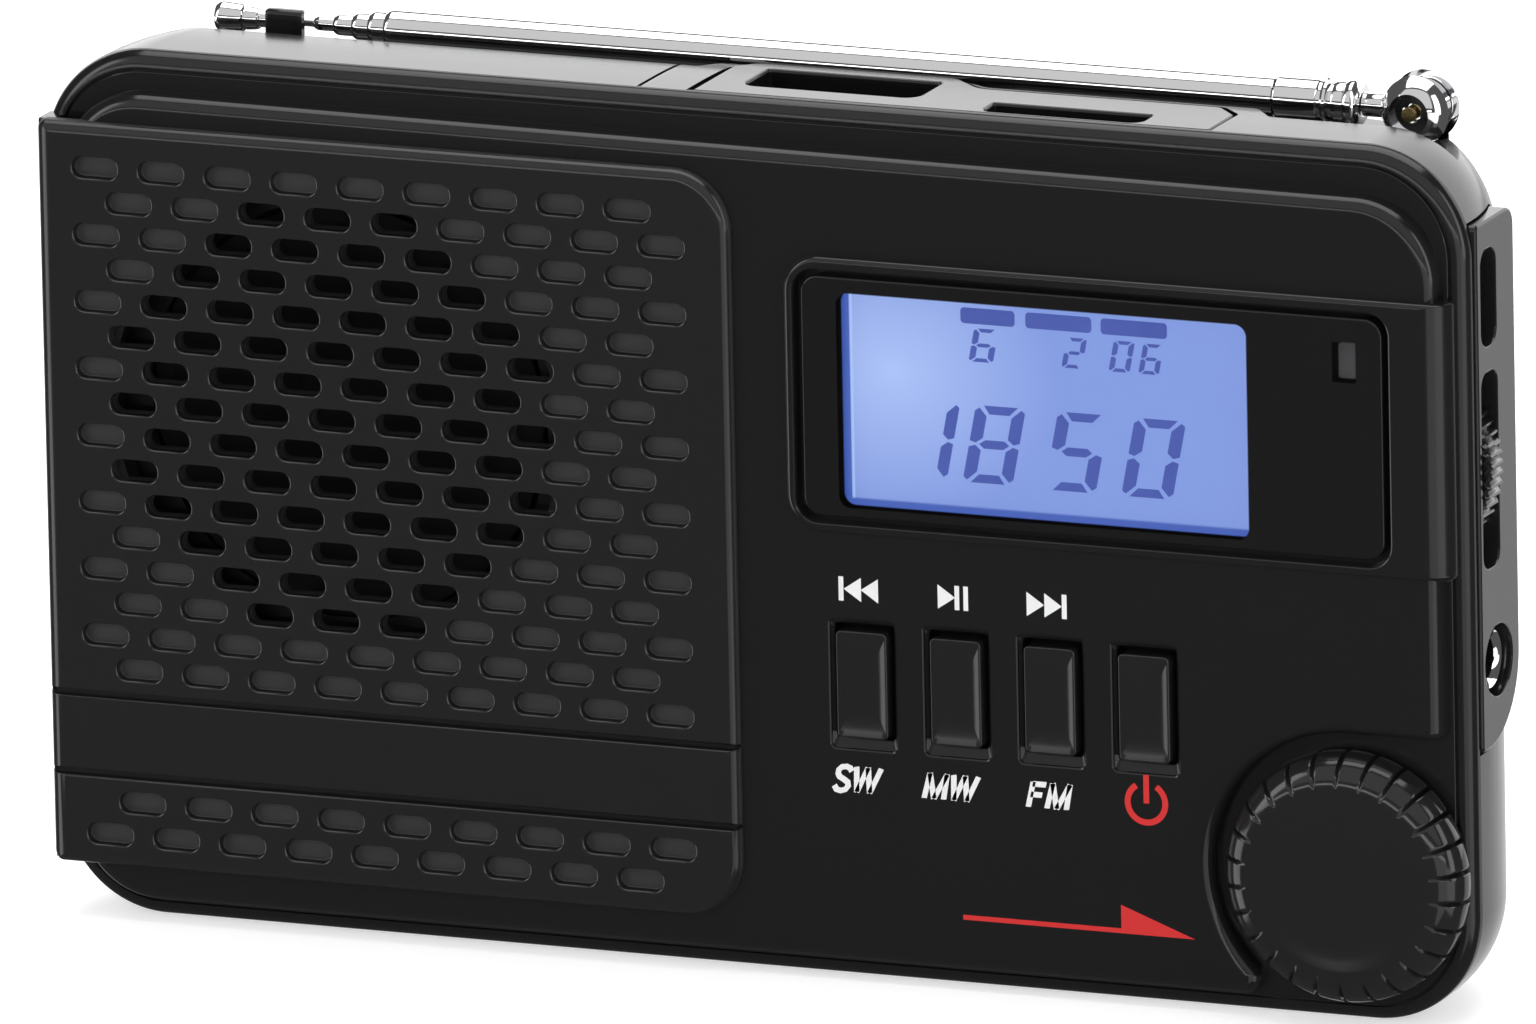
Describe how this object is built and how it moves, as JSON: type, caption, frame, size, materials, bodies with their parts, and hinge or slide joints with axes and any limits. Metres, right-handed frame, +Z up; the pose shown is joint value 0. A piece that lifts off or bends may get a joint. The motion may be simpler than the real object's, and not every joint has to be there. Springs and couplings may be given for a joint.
{
  "type": "tabletop radio",
  "caption": "Compact tabletop radio with a speaker grille, clock display, press keys, tuning knob, side volume wheel, card and plug sockets and a folding telescopic antenna.",
  "frame": {"origin": "on the underside of the case, in the middle of its width and depth", "axes": "+X towards the listener's right, +Y from the front to the back, +Z up"},
  "size_m": [0.1241, 0.0243, 0.0744],
  "materials": {
    "case_plastic": "satin black",
    "trim_plastic": "semi-gloss black",
    "lens_plastic": "clear, smoked",
    "screen_glass": "lit blue display",
    "light_plastic": "milky",
    "board_laminate": "green solder mask",
    "steel": "plated",
    "chrome": "polished",
    "brass": "bright",
    "paper": "pressed paper",
    "ferrite": "ground ceramic",
    "copper": "enamelled wire",
    "battery_foil": "printed sleeve",
    "red_sleeve": "soft insulation",
    "black_sleeve": "soft insulation"
  },
  "bodies": {
    "case": {"front_shell": "case_plastic", "speaker_grille": "case_plastic", "back_shell": "case_plastic", "top_panel": "case_plastic", "side_panel": "trim_plastic", "display_lens": "lens_plastic", "lcd_panel": "screen_glass", "backlight_panel": "light_plastic", "indicator_lamp": "light_plastic", "main_board": "board_laminate", "key_switch_1": "trim_plastic", "key_switch_2": "trim_plastic", "key_switch_3": "trim_plastic", "key_switch_4": "trim_plastic", "tuning_encoder": "steel", "usb_socket": "steel", "card_socket": "steel", "charging_socket": "steel", "headphone_jack": "trim_plastic", "headphone_jack_ring": "chrome", "volume_control": "board_laminate", "speaker_basket": "steel", "speaker_magnet": "steel", "speaker_cone": "paper", "speaker_screw_1": "steel", "speaker_screw_2": "steel", "speaker_wire_red": "red_sleeve", "speaker_wire_black": "black_sleeve", "battery": "battery_foil", "battery_contact_1": "brass", "battery_contact_2": "brass", "ferrite_rod": "ferrite", "ferrite_coil": "copper", "board_screw_1": "steel", "board_screw_2": "steel", "board_screw_3": "steel", "case_screw_1": "steel", "case_screw_2": "steel", "case_screw_3": "steel", "case_screw_4": "steel", "antenna_clip": "trim_plastic"},
    "battery_door": {"battery_cover": "case_plastic"},
    "previous_button": {"previous_key": "trim_plastic"},
    "play_button": {"play_key": "trim_plastic"},
    "next_button": {"next_key": "trim_plastic"},
    "power_button": {"power_key": "trim_plastic"},
    "tuning": {"tuning_knob": "trim_plastic"},
    "volume": {"volume_wheel": "trim_plastic"},
    "antenna_base": {"antenna_swivel": "chrome", "antenna_screw": "steel", "antenna_pin": "brass"},
    "antenna_arm": {"antenna_elbow": "chrome", "antenna_collar": "chrome", "antenna_section_1": "chrome"},
    "antenna_stage_2": {"antenna_section_2": "chrome"},
    "antenna_stage_3": {"antenna_section_3": "chrome"},
    "antenna_stage_4": {"antenna_section_4": "chrome"},
    "antenna_stage_5": {"antenna_section_5": "chrome"},
    "antenna_stage_6": {"antenna_section_6": "chrome", "antenna_tip": "chrome"}
  },
  "joints": [
    {"name": "battery_cover_lift", "type": "slide", "parent": "case", "child": "battery_door", "axis": [0, 1, 0], "range_m": [0, 0.02]},
    {"name": "previous_press", "type": "slide", "parent": "case", "child": "previous_button", "axis": [0, 1, 0], "range_m": [0, 0.0006], "stiffness_N_per_m": 400},
    {"name": "play_press", "type": "slide", "parent": "case", "child": "play_button", "axis": [0, 1, 0], "range_m": [0, 0.0006], "stiffness_N_per_m": 400},
    {"name": "next_press", "type": "slide", "parent": "case", "child": "next_button", "axis": [0, 1, 0], "range_m": [0, 0.0006], "stiffness_N_per_m": 400},
    {"name": "power_press", "type": "slide", "parent": "case", "child": "power_button", "axis": [0, 1, 0], "range_m": [0, 0.0006], "stiffness_N_per_m": 400},
    {"name": "tuning_turn", "type": "hinge", "parent": "case", "child": "tuning", "pos_m": [0.05125, -0.0105, 0.0122], "axis": [0, 1, 0], "continuous": true},
    {"name": "volume_turn", "type": "hinge", "parent": "case", "child": "volume", "pos_m": [0.0544, -0.005, 0.0452], "axis": [0, 1, 0], "range_deg": [-135, 135]},
    {"name": "antenna_turn", "type": "hinge", "parent": "case", "child": "antenna_base", "pos_m": [0.052, 0.0059, 0.0715], "axis": [0, 0, 1], "range_deg": [-180, 0]},
    {"name": "antenna_raise", "type": "hinge", "parent": "antenna_base", "child": "antenna_arm", "pos_m": [0.052, 0.0059, 0.0715], "axis": [0, 1, 0], "range_deg": [0, 180]},
    {"name": "antenna_slide_2", "type": "slide", "parent": "antenna_arm", "child": "antenna_stage_2", "axis": [-1, 0, 0], "range_m": [0, 0.064]},
    {"name": "antenna_slide_3", "type": "slide", "parent": "antenna_stage_2", "child": "antenna_stage_3", "axis": [-1, 0, 0], "range_m": [0, 0.064]},
    {"name": "antenna_slide_4", "type": "slide", "parent": "antenna_stage_3", "child": "antenna_stage_4", "axis": [-1, 0, 0], "range_m": [0, 0.064]},
    {"name": "antenna_slide_5", "type": "slide", "parent": "antenna_stage_4", "child": "antenna_stage_5", "axis": [-1, 0, 0], "range_m": [0, 0.064]},
    {"name": "antenna_slide_6", "type": "slide", "parent": "antenna_stage_5", "child": "antenna_stage_6", "axis": [-1, 0, 0], "range_m": [0, 0.064]}
  ]
}
